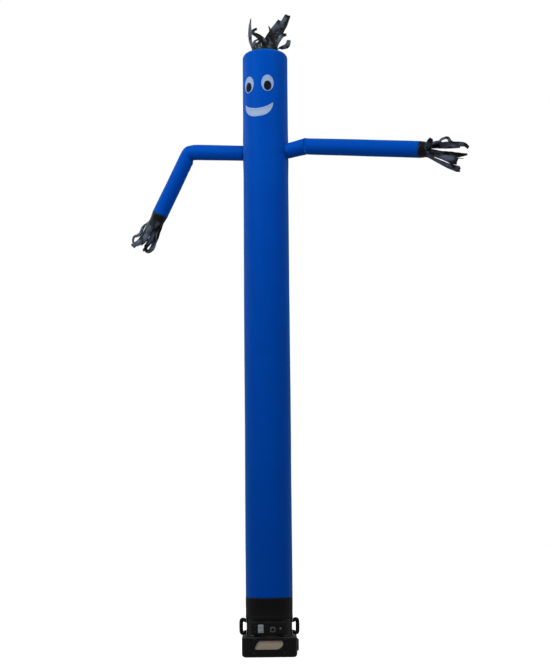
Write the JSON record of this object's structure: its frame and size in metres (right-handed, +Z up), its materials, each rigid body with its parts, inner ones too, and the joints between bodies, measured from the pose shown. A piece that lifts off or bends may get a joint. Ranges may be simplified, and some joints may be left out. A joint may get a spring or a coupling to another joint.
{
  "type": "inflatable air dancer on a blower",
  "caption": "Tall round cloth tube with a smiling face, two arms and black fringes, held up by the air of the square-based blower it stands on.",
  "frame": {"origin": "on the ground, at the middle of the blower's flat underside and on the tube's axis", "axes": "+Z up along the tube, -Y out of the blower's control panel, +X to the right of someone facing the panel; the dancer's face is turned 20 degrees about Z towards -X"},
  "size_m": [3.3729, 1.299, 6.5111],
  "materials": {
    "blue_cloth": "satin, coated nylon",
    "black_cloth": "satin, coated nylon",
    "white_cloth": "matte",
    "pupil_cloth": "matte",
    "black_plastic": "fine-grained moulding",
    "grey_plastic": "satin",
    "screen_mesh": "matte",
    "steel": "plain"
  },
  "bodies": {
    "dancer_and_blower": {"tube_body": "blue_cloth", "head_cap": "blue_cloth", "right_arm_root": "blue_cloth", "right_arm_middle": "blue_cloth", "right_arm_end": "blue_cloth", "left_arm_root": "blue_cloth", "left_arm_middle": "blue_cloth", "left_arm_end": "blue_cloth", "base_band": "black_cloth", "head_fringe": "black_cloth", "right_fringe": "black_cloth", "left_fringe": "black_cloth", "eye_left": "white_cloth", "eye_right": "white_cloth", "mouth": "white_cloth", "pupil_left": "pupil_cloth", "pupil_right": "pupil_cloth", "blower_base": "black_plastic", "blower_drum": "black_plastic", "handle_left": "black_plastic", "handle_right": "black_plastic", "control_panel": "black_plastic", "side_cover": "black_plastic", "outlet_plate": "grey_plastic", "outlet_upper": "grey_plastic", "outlet_lower": "grey_plastic", "dial_plate": "grey_plastic", "intake_screen": "screen_mesh", "reset_bezel": "steel", "panel_screw_upper": "steel", "panel_screw_lower": "steel", "base_screw_upper_left": "steel", "base_screw_upper_right": "steel", "base_screw_lower_left": "steel", "base_screw_lower_right": "steel"},
    "switch_knob": {"switch_knob": "black_plastic"},
    "reset_button": {"reset_button": "grey_plastic"}
  },
  "joints": [
    {"name": "switch_turn", "type": "hinge", "parent": "dancer_and_blower", "child": "switch_knob", "pos_m": [0.032, -0.2366, 0.26], "axis": [0, -1, 0], "range_deg": [0, 90]},
    {"name": "reset_press", "type": "slide", "parent": "dancer_and_blower", "child": "reset_button", "axis": [0, 1, 0], "range_m": [0, 0.003], "stiffness_N_per_m": 300}
  ]
}
